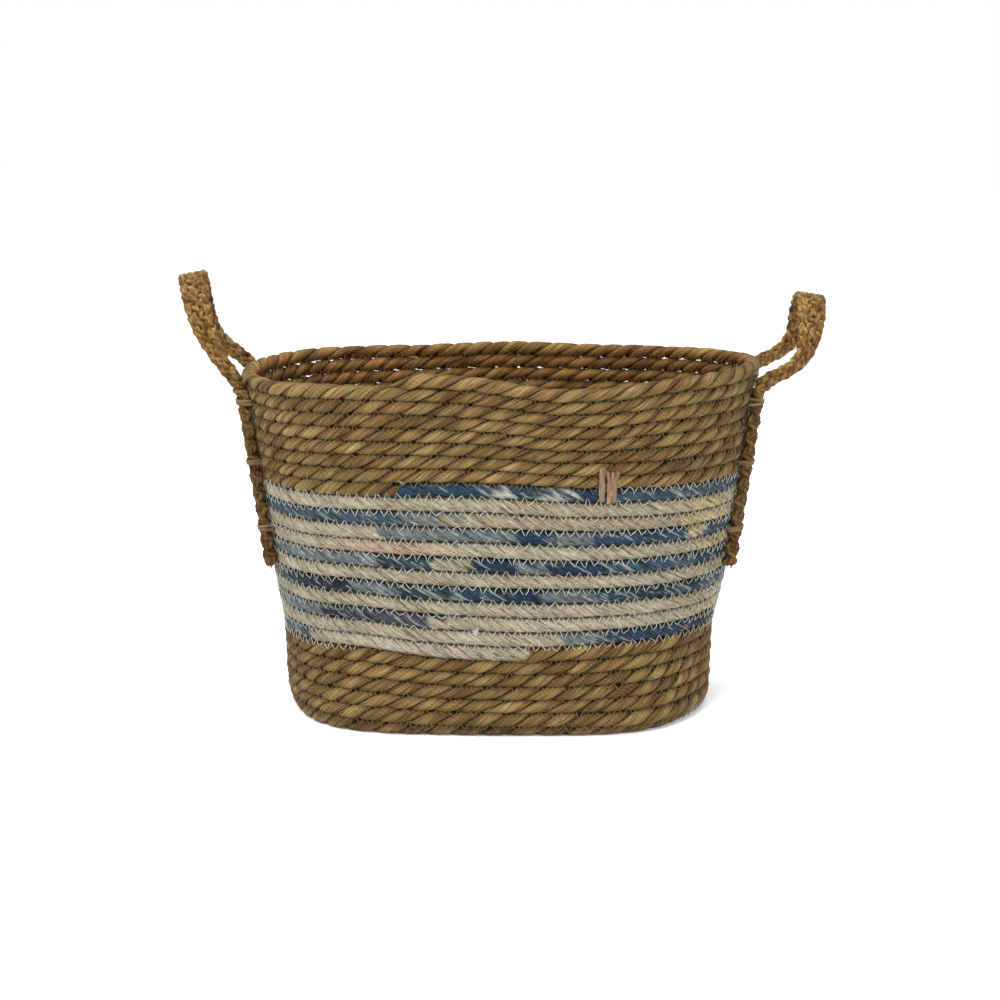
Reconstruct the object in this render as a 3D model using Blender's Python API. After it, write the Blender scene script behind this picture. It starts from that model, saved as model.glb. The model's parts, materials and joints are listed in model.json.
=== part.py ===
"""Oval seagrass storage basket with two braided rope handles.

The body is one coil of rope, wound as a flat oval spiral for the base and then
as a helix for the wall.  Three ropes follow each other end to end along that
coil.  Each handle is a braid: a loop above the rim that swings on its two
roots, and two tails that hang down the outside of the wall under raffia ties.
Metres, +Z up, long side of the oval along X, front towards -Y.
"""
import math

import bmesh
import bpy
from mathutils import Matrix, Vector

# Coil of rope
ROW_PITCH = 0.0095              # from one row's centre to the next, along the profile
ROW_GAP = 0.0003                # clear space between neighbouring rows
ROPE_SIDES = 8
POINTS_PER_TURN = 24
FLAT_HALF = (ROW_PITCH - ROW_GAP) / 2
ROPE_RADIUS = FLAT_HALF / math.cos(math.pi / ROPE_SIDES)
FLAT_DOWN_TILT = math.pi / ROPE_SIDES

# Oval plan: a straight core with rounded ends, softened where they join
CORE_HALF_BASE = 0.042
CORE_HALF_RIM = 0.050
CORE_SOFTNESS = 2.5

# Profile from the centre of the base to the rim
BASE_OFFSET = 0.1044            # centre of the lowest rows, out from the core
HEEL_RADIUS = 0.008
HEEL_ROPE_SCALE = 0.88          # the rope is squeezed where it turns the heel
STRAIGHT_HEIGHT = 0.050         # the wall is upright below this height
FLARE_RADIUS = 0.200            # and bends outward on this radius above it
WALL_LEAN = math.radians(6.6)
BODY_HEIGHT = 0.245

# Lengths of the three ropes, in turns, and where the rim end lies
UPPER_TURNS = 8.0
HUSK_TURNS = 11.064
RIM_END_ANGLE = math.radians(252.0)
START_SCALE = 0.70              # the rope starts thin at the middle of the base
START_TURNS = 0.9
END_GAP_TURNS = 0.0006
CUT_END_SCALE = 0.92            # each rope narrows a little where it was cut

# Handles
HANDLE_ANGLE = math.radians(19.0)      # bearing of each root, from the X axis
HINGE_HEIGHT = 0.234
ROOT_STANDOFF = 0.0058                 # from the wall's face to a root's centre
ROOT_HALF = 0.0042
GRIP_HALF_WIDTH = 0.0102
GRIP_HALF_THICKNESS = 0.0044
ARCH_POWER = 2.3
LOOP_RINGS = 20
LOOP_SIDES = 12

# Tails and their ties
TAIL_RADIUS = 0.0043
TAIL_BOTTOM = 0.106
TAIL_TOP_DROP = 0.0052
TIE_RADIUS = 0.0009
TIE_HEIGHTS = {"top": 0.2215, "middle": 0.1790, "bottom": 0.1325}
TOUCH_GAP = 0.0004

# Raffia tabs over the seam between the husk rope and the upper rope
TAB_THICKNESS = 0.0008
TAB_HEIGHT = 0.1765
TABS = {
    "raffia_tab_narrow": {"x": 0.0660, "width": 0.0035, "length": 0.024, "drop": 0.000},
    "raffia_tab_wide": {"x": 0.0725, "width": 0.0060, "length": 0.021, "drop": -0.002},
}


def clear_scene():
    for old in list(bpy.data.objects):
        bpy.data.objects.remove(old, do_unlink=True)


def make_collection(name):
    collection = bpy.data.collections.new(name)
    bpy.context.scene.collection.children.link(collection)
    return collection


def make_material(name, colour, roughness):
    material = bpy.data.materials.new(name)
    material.use_nodes = True
    shader = material.node_tree.nodes["Principled BSDF"]
    shader.inputs["Base Color"].default_value = (*colour, 1.0)
    shader.inputs["Roughness"].default_value = roughness
    shader.inputs["Metallic"].default_value = 0.0
    return material


def smoothstep(value):
    clamped = min(1.0, max(0.0, value))
    return clamped * clamped * (3.0 - 2.0 * clamped)


# ---- shape of the coil ----

HEEL_START = BASE_OFFSET - HEEL_RADIUS
HEEL_END = HEEL_START + HEEL_RADIUS * math.pi / 2
HEEL_TOP = FLAT_HALF + HEEL_RADIUS
FLARE_START = HEEL_END + STRAIGHT_HEIGHT - HEEL_TOP
LEAN_START = FLARE_START + FLARE_RADIUS * WALL_LEAN
LEAN_OFFSET = BASE_OFFSET + FLARE_RADIUS * (1.0 - math.cos(WALL_LEAN))
LEAN_HEIGHT = STRAIGHT_HEIGHT + FLARE_RADIUS * math.sin(WALL_LEAN)
LEAN_LENGTH = (BODY_HEIGHT - FLAT_HALF - LEAN_HEIGHT) / math.cos(WALL_LEAN)
TOTAL_TURNS = (LEAN_START + LEAN_LENGTH) / ROW_PITCH


def profile(along):
    """Offset from the core, height and slope angle at a distance along the profile."""
    if along < HEEL_START:
        return along, FLAT_HALF, 0.0
    if along < HEEL_END:
        turn = (along - HEEL_START) / HEEL_RADIUS
        offset = HEEL_START + HEEL_RADIUS * math.sin(turn)
        return offset, FLAT_HALF + HEEL_RADIUS * (1.0 - math.cos(turn)), turn
    if along < FLARE_START:
        return BASE_OFFSET, HEEL_TOP + along - HEEL_END, math.pi / 2
    if along < LEAN_START:
        lean = (along - FLARE_START) / FLARE_RADIUS
        offset = BASE_OFFSET + FLARE_RADIUS * (1.0 - math.cos(lean))
        return offset, STRAIGHT_HEIGHT + FLARE_RADIUS * math.sin(lean), math.pi / 2 - lean
    rise = along - LEAN_START
    offset = LEAN_OFFSET + rise * math.sin(WALL_LEAN)
    return offset, LEAN_HEIGHT + rise * math.cos(WALL_LEAN), math.pi / 2 - WALL_LEAN


def wall_offset(height):
    """Offset of the rope's centre from the core at a height on the leaning wall."""
    return LEAN_OFFSET + (height - LEAN_HEIGHT) * math.tan(WALL_LEAN)


def core_half(height):
    share = max(0.0, height - STRAIGHT_HEIGHT) / (BODY_HEIGHT - STRAIGHT_HEIGHT)
    return CORE_HALF_BASE + (CORE_HALF_RIM - CORE_HALF_BASE) * share


def oval_point(bearing, offset, height):
    """Point of the oval at a bearing, an offset from the core and a height."""
    pull = math.tanh(CORE_SOFTNESS * math.cos(bearing)) / math.tanh(CORE_SOFTNESS)
    x = core_half(height) * pull + offset * math.cos(bearing)
    return Vector((x, offset * math.sin(bearing), height))


def bearing_at(turns):
    """The coil rises clockwise as seen from above."""
    return RIM_END_ANGLE + 2.0 * math.pi * (TOTAL_TURNS - turns)


def rope_scale(turns):
    """Thickness of the rope, as a share of its full radius."""
    start = START_SCALE + (1.0 - START_SCALE) * smoothstep(turns / START_TURNS)
    along = turns * ROW_PITCH
    into = smoothstep((along - HEEL_START + 2 * ROW_PITCH) / ROW_PITCH)
    out = smoothstep((along - HEEL_END) / ROW_PITCH)
    return start * (1.0 - (1.0 - HEEL_ROPE_SCALE) * (into - out))


def coil_turn_marks(first, last):
    """Turn numbers of the rope's points: its two ends and the shared grid between."""
    grid_start = math.ceil((first - TOTAL_TURNS) * POINTS_PER_TURN + 0.3)
    grid_end = math.floor((last - TOTAL_TURNS) * POINTS_PER_TURN - 0.3)
    marks = [TOTAL_TURNS + step / POINTS_PER_TURN for step in range(grid_start, grid_end + 1)]
    return [first] + marks + [last]


# ---- building blocks ----

def link(obj, collection, material):
    obj.data.materials.append(material)
    collection.objects.link(obj)
    return obj


def add_tube(name, points, radius, tilts, scales, collection, material):
    """Round tube through the points, as a curve with filled ends."""
    curve = bpy.data.curves.new(name, "CURVE")
    curve.dimensions = "3D"
    curve.twist_mode = "Z_UP"
    curve.bevel_depth = radius
    curve.bevel_resolution = 2
    curve.use_fill_caps = True
    spline = curve.splines.new("POLY")
    spline.points.add(len(points) - 1)
    for target, point, tilt, scale in zip(spline.points, points, tilts, scales):
        target.co = (*point, 1.0)
        target.tilt = tilt
        target.radius = scale
    return link(bpy.data.objects.new(name, curve), collection, material)


def add_rope(name, first, last, collection, material):
    """One rope of the coil, from one turn number to another."""
    points = []
    tilts = []
    scales = []
    for turns in coil_turn_marks(first, last):
        offset, height, slope = profile(turns * ROW_PITCH)
        points.append(oval_point(bearing_at(turns), offset, height))
        tilts.append(FLAT_DOWN_TILT + slope)
        scales.append(rope_scale(turns))
    scales[0] *= CUT_END_SCALE
    scales[-1] *= CUT_END_SCALE
    return add_tube(name, points, ROPE_RADIUS, tilts, scales, collection, material)


def add_loft(name, rings, origin, collection, material):
    """Closed solid through a row of rings with equal numbers of points."""
    mesh = bpy.data.meshes.new(name)
    shape = bmesh.new()
    grid = [[shape.verts.new(point - origin) for point in ring] for ring in rings]
    count = len(rings[0])
    for lower, upper in zip(grid, grid[1:]):
        for index in range(count):
            following = (index + 1) % count
            shape.faces.new((lower[index], lower[following], upper[following], upper[index]))
    shape.faces.new(grid[0])
    shape.faces.new(grid[-1])
    bmesh.ops.recalc_face_normals(shape, faces=shape.faces)
    shape.to_mesh(mesh)
    shape.free()
    obj = link(bpy.data.objects.new(name, mesh), collection, material)
    obj.location = origin
    return obj


# ---- handles ----

def handle_point(side, end, height, standoff):
    """Point outside the wall on a handle's line; side is -1 or 1 in X, end in Y."""
    offset = wall_offset(height) + ROPE_RADIUS + standoff
    point = oval_point(HANDLE_ANGLE, offset, height)
    return Vector((side * point.x, end * point.y, height))


def loop_profile(share, handle):
    """Outward reach and rise of a loop at a share of its length up from the root."""
    steps = 40
    reach = 0.0
    rise = 0.0
    piece = handle["length"] * share / steps
    for step in range(steps):
        place = share * (step + 0.5) / steps
        bend = smoothstep((place - handle["bend_from"]) / (handle["bend_to"] - handle["bend_from"]))
        slope = handle["root_slope"] + (handle["top_slope"] - handle["root_slope"]) * bend
        reach += piece * math.cos(slope)
        rise += piece * math.sin(slope)
    return reach, rise


def loop_centre(turn, side, handle, root):
    """Centre of the strap; turn runs from 0 at the front root to pi at the back root."""
    width = math.copysign(abs(math.cos(turn)) ** (2.0 / ARCH_POWER), math.cos(turn))
    share = max(0.0, math.sin(turn)) ** (2.0 / ARCH_POWER)
    reach, rise = loop_profile(share, handle)
    return Vector((root.x + side * reach, -width * abs(root.y), root.z + rise)), share


def add_handle_loop(name, side, handle, collection, material):
    """Flat braided strap that rises from both roots and turns over at the top."""
    root = handle_point(side, 1.0, HINGE_HEIGHT, ROOT_STANDOFF)
    turns = [math.pi * step / LOOP_RINGS for step in range(LOOP_RINGS + 1)]
    centres = []
    shares = []
    for turn in turns:
        centre, share = loop_centre(turn, side, handle, root)
        centres.append(centre)
        shares.append(share)
    rings = []
    for index, centre in enumerate(centres):
        ahead = centres[min(index + 1, LOOP_RINGS)]
        behind = centres[max(index - 1, 0)]
        tangent = (ahead - behind).normalized()
        reach_low, rise_low = loop_profile(max(0.0, shares[index] - 0.02), handle)
        reach_high, rise_high = loop_profile(shares[index] + 0.02, handle)
        slope = math.atan2(rise_high - rise_low, reach_high - reach_low)
        broad = Vector((side * math.sin(slope), 0.0, -math.cos(slope)))
        thin = tangent.cross(broad).normalized()
        swell = smoothstep(shares[index] / 0.75)
        half_width = ROOT_HALF + (GRIP_HALF_WIDTH - ROOT_HALF) * swell
        half_thick = ROOT_HALF + (GRIP_HALF_THICKNESS - ROOT_HALF) * swell
        ring = []
        for corner in range(LOOP_SIDES):
            angle = 2.0 * math.pi * (corner + 0.5) / LOOP_SIDES
            ring.append(centre + broad * half_width * math.cos(angle) + thin * half_thick * math.sin(angle))
        rings.append(ring)
    origin = Vector((root.x, 0.0, root.z))
    return add_loft(name, rings, origin, collection, material)


def add_tail(name, side, end, collection, material):
    """End of the braid that hangs down the outside of the wall."""
    top = HINGE_HEIGHT - TAIL_TOP_DROP
    points = []
    for step in range(7):
        height = TAIL_BOTTOM + (top - TAIL_BOTTOM) * step / 6
        points.append(handle_point(side, end, height, ROOT_STANDOFF))
    return add_tube(name, points, TAIL_RADIUS, [0.0] * 7, [1.0] * 7, collection, material)


def add_tie(name, side, end, height, collection, material):
    """Raffia loop round a tail, with both ends at the wall."""
    centre = handle_point(side, end, height, ROOT_STANDOFF)
    inward = (handle_point(side, end, height, 0.0) - centre).normalized()
    across = inward.cross(Vector((0.0, 0.0, 1.0)))
    bend = TAIL_RADIUS + TIE_RADIUS + TOUCH_GAP
    reach = ROOT_STANDOFF - TOUCH_GAP - TIE_RADIUS
    points = [centre + across * bend + inward * reach]
    for step in range(7):
        angle = math.pi * step / 6
        points.append(centre + across * bend * math.cos(angle) - inward * bend * math.sin(angle))
    points.append(centre - across * bend + inward * reach)
    return add_tube(name, points, TIE_RADIUS, [0.0] * 9, [1.0] * 9, collection, material)


# ---- raffia tabs ----

def front_bearing(x, height):
    """Bearing of the front wall at a given X, by halving the interval."""
    low = math.radians(270.0)
    high = math.radians(350.0)
    for _ in range(40):
        middle = (low + high) / 2
        if oval_point(middle, wall_offset(height) + FLAT_HALF, height).x < x:
            low = middle
        else:
            high = middle
    return low


def add_tab(name, tab, collection, material):
    """Flat strip lying against the front of the wall across a seam."""
    height = TAB_HEIGHT + tab["drop"]
    bearing = front_bearing(tab["x"], height)
    offset = wall_offset(height) + ROPE_RADIUS + TOUCH_GAP + TAB_THICKNESS / 2
    centre = oval_point(bearing, offset, height)
    ahead = oval_point(bearing + 0.01, offset, height)
    across = (ahead - centre).normalized()
    up = Vector((math.cos(bearing), math.sin(bearing), 0.0)) * math.sin(WALL_LEAN)
    up += Vector((0.0, 0.0, math.cos(WALL_LEAN)))
    up = (up - across * up.dot(across)).normalized()
    outward = across.cross(up)
    bpy.ops.mesh.primitive_cube_add(size=1.0)
    obj = bpy.context.active_object
    obj.name = name
    for owner in list(obj.users_collection):
        owner.objects.unlink(obj)
    link(obj, collection, material)
    turn = Matrix((across, up, outward)).transposed().to_4x4()
    size = Matrix.Diagonal((tab["width"], tab["length"], TAB_THICKNESS, 1.0))
    obj.data.transform(size)
    obj.matrix_world = Matrix.Translation(centre) @ turn
    return obj


HANDLES = {
    "left": {
        "side": -1.0,
        "length": 0.0800,
        "root_slope": math.radians(44.0),
        "top_slope": math.radians(76.0),
        "bend_from": 0.0,
        "bend_to": 0.9,
    },
    "right": {
        "side": 1.0,
        "length": 0.0735,
        "root_slope": math.radians(24.0),
        "top_slope": math.radians(82.0),
        "bend_from": 0.24,
        "bend_to": 0.64,
    },
}
ENDS = {"front": -1.0, "back": 1.0}


def build():
    clear_scene()
    basket = make_collection("seagrass_storage_basket")
    seagrass = make_material("seagrass", (0.30, 0.19, 0.08), 0.75)
    husk = make_material("husk", (0.46, 0.42, 0.33), 0.65)
    braid = make_material("braid", (0.32, 0.18, 0.06), 0.75)
    raffia = make_material("raffia", (0.38, 0.28, 0.16), 0.65)

    husk_end = TOTAL_TURNS - UPPER_TURNS
    husk_start = husk_end - HUSK_TURNS
    gap = END_GAP_TURNS
    add_rope("base_and_lower_rope", 0.0, husk_start - gap, basket, seagrass)
    add_rope("striped_husk_rope", husk_start + gap, husk_end - gap, basket, husk)
    add_rope("upper_rope", husk_end + gap, TOTAL_TURNS, basket, seagrass)

    for label, handle in HANDLES.items():
        side = handle["side"]
        add_handle_loop(f"{label}_handle_loop", side, handle, basket, braid)
        for end_label, end in ENDS.items():
            add_tail(f"{label}_{end_label}_tail", side, end, basket, braid)
            for level, height in TIE_HEIGHTS.items():
                name = f"{label}_{end_label}_tie_{level}"
                add_tie(name, side, end, height, basket, raffia)

    for name, tab in TABS.items():
        add_tab(name, tab, basket, raffia)


build()
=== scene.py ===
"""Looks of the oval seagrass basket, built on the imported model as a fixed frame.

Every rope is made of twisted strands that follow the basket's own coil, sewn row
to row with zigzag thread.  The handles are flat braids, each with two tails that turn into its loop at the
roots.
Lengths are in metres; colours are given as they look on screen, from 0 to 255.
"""
import json
import math

import bpy
import numpy as np
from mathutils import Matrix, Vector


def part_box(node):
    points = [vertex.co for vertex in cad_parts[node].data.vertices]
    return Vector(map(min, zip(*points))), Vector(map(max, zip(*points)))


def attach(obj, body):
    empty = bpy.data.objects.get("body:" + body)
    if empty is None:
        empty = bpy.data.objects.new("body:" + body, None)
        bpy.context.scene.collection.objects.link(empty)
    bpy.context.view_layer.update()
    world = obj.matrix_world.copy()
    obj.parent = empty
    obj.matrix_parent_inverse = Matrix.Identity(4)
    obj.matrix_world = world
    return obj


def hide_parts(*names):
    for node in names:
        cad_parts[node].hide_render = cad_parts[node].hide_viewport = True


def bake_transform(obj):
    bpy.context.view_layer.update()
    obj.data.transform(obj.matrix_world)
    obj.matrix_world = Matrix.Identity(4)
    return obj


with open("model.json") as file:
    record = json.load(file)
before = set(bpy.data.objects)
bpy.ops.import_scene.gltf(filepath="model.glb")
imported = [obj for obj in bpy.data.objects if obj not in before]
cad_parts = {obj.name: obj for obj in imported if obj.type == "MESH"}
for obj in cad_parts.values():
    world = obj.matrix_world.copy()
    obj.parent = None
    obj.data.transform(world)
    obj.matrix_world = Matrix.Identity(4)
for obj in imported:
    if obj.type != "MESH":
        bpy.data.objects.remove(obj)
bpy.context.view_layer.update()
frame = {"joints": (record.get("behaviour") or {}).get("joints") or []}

MM = 0.001
TAU = 2.0 * math.pi

# The coil, as in the CAD
LOW_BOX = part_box("base_and_lower_rope")
RIM_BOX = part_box("upper_rope")
ROW_PITCH = 9.5 * MM
ROPE_HALF = 4.6 * MM
BODY_HEIGHT = RIM_BOX[1][2]
BASE_OFFSET = LOW_BOX[1][1] - ROPE_HALF
CORE_HALF_BASE = LOW_BOX[1][0] - LOW_BOX[1][1]
CORE_HALF_RIM = RIM_BOX[1][0] - RIM_BOX[1][1]
CORE_SOFTNESS = 2.5
HEEL_RADIUS = 8.0 * MM
HEEL_SQUARENESS = 0.62
STRAIGHT_HEIGHT = 50.0 * MM
FLARE_RADIUS = 200.0 * MM
WALL_LEAN = math.radians(6.6)
RIM_END_ANGLE = math.radians(252.0)
UPPER_TURNS = 8.0
HUSK_TURNS = 11.064

# Handles, as in the CAD; angles are in degrees, bend and grip are shares of the way up a loop's leg
HINGES = {joint["child"]: joint["pos_m"] for joint in frame["joints"]}
HINGE_HEIGHT = HINGES["left_handle"][2]
HANDLE_ANGLE = math.radians(19.0)
TAIL_STANDOFF = 9.0 * MM    # from rope centre to braid centre, pulled in 0.8 mm from the CAD's by the ties
ARCH_POWER = 2.3
ARCH_HALF = 44.0 * MM
TAIL_BOTTOM = 106.0 * MM
TIE_HEIGHTS = {"top": 221.5 * MM, "middle": 179.0 * MM, "bottom": 132.5 * MM}
UP = np.array([0.0, 0.0, 1.0])
NOISE_LENGTH = 4096
HANDLES = {
    "left": {
        "side": -1.0, "length": 80.0 * MM, "root": 44.0, "top": 80.0, "bend": (0.0, 0.9),
        "front_out": -2.0 * MM, "back_out": 9.0 * MM, "skew_from": 0.06, "grip": (0.05, 1.0),
    },
    "right": {
        "side": 1.0, "length": 73.5 * MM, "root": 24.0, "top": 82.0, "bend": (0.24, 0.64),
        "front_out": 2.0 * MM, "back_out": 6.0 * MM, "skew_from": 0.30, "grip": (0.30, 0.95),
    },
}


# ---------------------------------------------------------------- small maths

def smoothstep(value):
    """0 below 0, 1 above 1 and an even S between."""
    clamped = np.clip(value, 0.0, 1.0)
    return clamped * clamped * (3.0 - 2.0 * clamped)


def unit(vectors):
    """The same directions, each of length 1."""
    return vectors / np.linalg.norm(vectors, axis=-1, keepdims=True)


def lengths_along(points):
    """Distance along a line of points, at each point."""
    steps = np.linalg.norm(np.diff(points, axis=0), axis=1)
    return np.concatenate([[0.0], np.cumsum(steps)])


def wander(x, seed):
    """Smooth random curve of x between -1 and 1, with a new value at every whole x."""
    table = np.random.default_rng(seed).uniform(-1.0, 1.0, NOISE_LENGTH)
    whole = np.floor(x).astype(int)
    share = smoothstep(x - whole)
    return table[whole % NOISE_LENGTH] * (1.0 - share) + table[(whole + 1) % NOISE_LENGTH] * share


def wander_2d(x, y, seed, x_period):
    """Smooth random surface between -1 and 1; x repeats after x_period."""
    table = np.random.default_rng(seed).uniform(-1.0, 1.0, (x_period, NOISE_LENGTH))
    x_whole = np.floor(x).astype(int)
    y_whole = np.floor(y).astype(int)
    u = smoothstep(x - x_whole)
    v = smoothstep(y - y_whole)
    low = y_whole % NOISE_LENGTH
    high = (y_whole + 1) % NOISE_LENGTH
    near = table[x_whole % x_period, low] * (1 - v) + table[x_whole % x_period, high] * v
    far = table[(x_whole + 1) % x_period, low] * (1 - v) + table[(x_whole + 1) % x_period, high] * v
    return near * (1 - u) + far * u


DYE_DEPTH = 0.38        # the studio is bright, so the fibres are darker than they look


def linear(colour):
    """Screen colour from 0 to 255 as the fibre's own linear colour."""
    share = np.asarray(colour, float) / 255.0
    return DYE_DEPTH * np.where(share <= 0.04045, share / 12.92, ((share + 0.055) / 1.055) ** 2.4)


def ramp(value, stops):
    """Linear-light colour at each value, from (place, screen colour) stops."""
    places = [place for place, _ in stops]
    colours = np.array([linear(colour) for _, colour in stops])
    return np.stack([np.interp(value, places, colours[:, channel]) for channel in range(3)], -1)


# ---------------------------------------------------------------- the coil

HEEL_START = BASE_OFFSET - HEEL_RADIUS
HEEL_END = HEEL_START + HEEL_RADIUS * math.pi / 2
HEEL_TOP = ROPE_HALF + HEEL_RADIUS
FLARE_START = HEEL_END + STRAIGHT_HEIGHT - HEEL_TOP
LEAN_START = FLARE_START + FLARE_RADIUS * WALL_LEAN
LEAN_OFFSET = BASE_OFFSET + FLARE_RADIUS * (1.0 - math.cos(WALL_LEAN))
LEAN_HEIGHT = STRAIGHT_HEIGHT + FLARE_RADIUS * math.sin(WALL_LEAN)
LEAN_LENGTH = (BODY_HEIGHT - ROPE_HALF - LEAN_HEIGHT) / math.cos(WALL_LEAN)
TOTAL_TURNS = (LEAN_START + LEAN_LENGTH) / ROW_PITCH
HUSK_END = TOTAL_TURNS - UPPER_TURNS
HUSK_START = HUSK_END - HUSK_TURNS
WALL_START = HEEL_END / ROW_PITCH
HEEL_MIDDLE = (HEEL_START + HEEL_END) / 2 / ROW_PITCH


def profile(along):
    """Offset from the oval's core, height and slope at distances along the profile."""
    heel = np.clip((along - HEEL_START) / HEEL_RADIUS, 0.0, math.pi / 2)
    lean = np.clip((along - FLARE_START) / FLARE_RADIUS, 0.0, WALL_LEAN)
    upright = np.clip(along - HEEL_END, 0.0, FLARE_START - HEEL_END)
    rise = np.maximum(along - LEAN_START, 0.0)
    offset = np.minimum(along, HEEL_START) + HEEL_RADIUS * np.sin(heel) ** HEEL_SQUARENESS
    offset = offset + FLARE_RADIUS * (1.0 - np.cos(lean)) + rise * math.sin(WALL_LEAN)
    height = ROPE_HALF + HEEL_RADIUS * (1.0 - np.cos(heel) ** HEEL_SQUARENESS) + upright
    height = height + FLARE_RADIUS * np.sin(lean) + rise * math.cos(WALL_LEAN)
    return offset, height, heel - lean


def wall_offset(height):
    """Offset of the leaning wall from the oval's core at a height."""
    return LEAN_OFFSET + (height - LEAN_HEIGHT) * math.tan(WALL_LEAN)


def oval_point(bearing, offset, height):
    """Point at an offset outside the oval's core, a line that grows longer towards the rim."""
    share = np.maximum(height - STRAIGHT_HEIGHT, 0.0) / (BODY_HEIGHT - STRAIGHT_HEIGHT)
    core = CORE_HALF_BASE + (CORE_HALF_RIM - CORE_HALF_BASE) * share
    pull = np.tanh(CORE_SOFTNESS * np.cos(bearing)) / math.tanh(CORE_SOFTNESS)
    x = core * pull + offset * np.cos(bearing)
    return np.stack([x, offset * np.sin(bearing), height + 0.0 * x], -1)


def bearing_at(turns):
    """Bearing of the coil after a number of turns; it climbs clockwise."""
    return RIM_END_ANGLE + TAU * (TOTAL_TURNS - turns)


def coil_frame(turns):
    """Centre, direction, outer-face normal and towards-the-next-row vector of the coil."""
    step = 1e-4
    offset, height, slope = profile(turns * ROW_PITCH)
    centre = oval_point(bearing_at(turns), offset, height)
    ahead_offset, ahead_height, _ = profile((turns + step) * ROW_PITCH)
    ahead = oval_point(bearing_at(turns + step), ahead_offset, ahead_height)
    along = unit(ahead - centre)
    outward = unit(np.stack([-along[:, 1], along[:, 0], 0.0 * along[:, 0]], -1))
    bearing = bearing_at(turns)
    facing = np.sign(outward[:, 0] * np.cos(bearing) + outward[:, 1] * np.sin(bearing))
    outward = outward * facing[:, None]
    face = outward * np.sin(slope)[:, None] - UP * np.cos(slope)[:, None]
    onward = outward * np.cos(slope)[:, None] + UP * np.sin(slope)[:, None]
    return centre, along, unit(face), unit(onward)


def coil_marks(first, last, step):
    """Turn numbers at even steps of length along the coil, and the length at each."""
    dense = np.linspace(first, last, max(8, int((last - first) * 360)))
    length = lengths_along(coil_frame(dense)[0])
    even = np.linspace(0.0, length[-1], max(8, int(length[-1] / step)))
    return np.interp(even, length, dense), even


MARKS = np.linspace(0.0, TOTAL_TURNS, 9000)
MARK_LENGTHS = lengths_along(coil_frame(MARKS)[0])


def millimetres_along(turns):
    """Length of rope from the middle of the base, in millimetres."""
    return np.interp(turns, MARKS, MARK_LENGTHS) / MM


# How the sewn basket departs from the even coil: heights in metres, amounts in millimetres, bearings in
# degrees. The rows are lifted by one amount at the husk's foot, one at its head and one at the rim.
HUSK_FOOT = 56.0 * MM
HUSK_HEAD = 169.0 * MM
RIM_LIFT = {
    0: 5.5, 27: 4.4, 57: 2.5, 87: 5.3, 117: 3.5, 147: 5.2, 177: 3.0, 207: 3.0, 222: 5.5, 237: 6.0,
    252: 5.0, 262: 3.5, 271: 0.5, 285: -4.5, 300: -4.0, 313: 1.0, 327: 3.0, 342: 5.0, 360: 5.5,
}
BELLY_HEIGHTS = (0.0, 0.030, 0.060, 0.090, 0.130, 0.200, 0.245)
BELLY_LEFT = (0.0, 3.0, 4.0, 5.0, 4.5, 4.5, 5.5)
BELLY_RIGHT = (0.0, 1.0, 2.0, 5.0, 4.5, 4.0, 4.5)
CORNER_WIDTH = 20
CORNER_HEIGHT = 0.08
FRONT_CORNER_PUSH = 7.5
BACK_CORNER_PUSH = 5.0
SOLE = 1.5 * MM             # below this the rope is pressed flat by what it stands on


def bump(degrees, centre, width):
    """A hill of height 1 round a centre."""
    return np.exp(-((degrees - centre) / width) ** 2)


def settle(points, rows=True):
    """The unevenness of a hand-guided coil: rows that rise and sink, ends that belly out."""
    bearing = np.arctan2(points[..., 1], points[..., 0])
    degrees = np.degrees(bearing) % 360.0
    height = points[..., 2]
    reach = np.hypot(points[..., 0], points[..., 1])
    left = np.interp(height, BELLY_HEIGHTS, BELLY_LEFT)
    right = np.interp(height, BELLY_HEIGHTS, BELLY_RIGHT)
    belly = np.where(points[..., 0] < 0.0, left, right) * np.abs(np.cos(bearing)) ** 1.5
    level = np.clip(height / BODY_HEIGHT, 0.0, 1.0)
    front_corners = bump(degrees, 217, CORNER_WIDTH) + bump(degrees, 314, CORNER_WIDTH)
    back_corners = bump(degrees, 42, CORNER_WIDTH) + bump(degrees, 138, CORNER_WIDTH)
    lower_edge = (1.0 - smoothstep(height / CORNER_HEIGHT)) * smoothstep((reach - 0.09) / 0.02)
    belly = belly + (FRONT_CORNER_PUSH * front_corners + BACK_CORNER_PUSH * back_corners) * lower_edge
    uneven = 0.8 * np.sin(4 * bearing + 1.1 + 3.0 * level)
    uneven = uneven + 0.5 * np.sin(7 * bearing - 0.6 - 5.0 * level)
    push = belly + uneven * level
    if not rows:
        push = push * (1.0 - 0.75 * smoothstep((height - 0.215) / 0.035))
    outward = np.stack([np.cos(bearing), np.sin(bearing), 0.0 * bearing], -1)
    moved = points + outward * (push * MM)[..., None]
    if rows:
        foot = 3.5 * bump(degrees, 226, 14) - 2.6 * bump(degrees, 280, 30)
        head = 4.0 + 5.2 * bump(degrees, 255, 35)
        rim = np.interp(degrees, list(RIM_LIFT), list(RIM_LIFT.values()))
        low = foot * np.clip(height / HUSK_FOOT, 0.0, 1.0)
        middle = (head - foot) * np.clip((height - HUSK_FOOT) / (HUSK_HEAD - HUSK_FOOT), 0.0, 1.0)
        high = (rim - head) * np.clip((height - HUSK_HEAD) / (BODY_HEIGHT - HUSK_HEAD), 0.0, 1.0)
        moved[..., 2] += (low + middle + high) * MM
        pressed = SOLE * np.exp(np.minimum(moved[..., 2] / SOLE - 1.0, 0.0))
        moved[..., 2] = np.where(moved[..., 2] < SOLE, pressed, moved[..., 2])
    return moved


# ---------------------------------------------------------------- meshes

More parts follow.
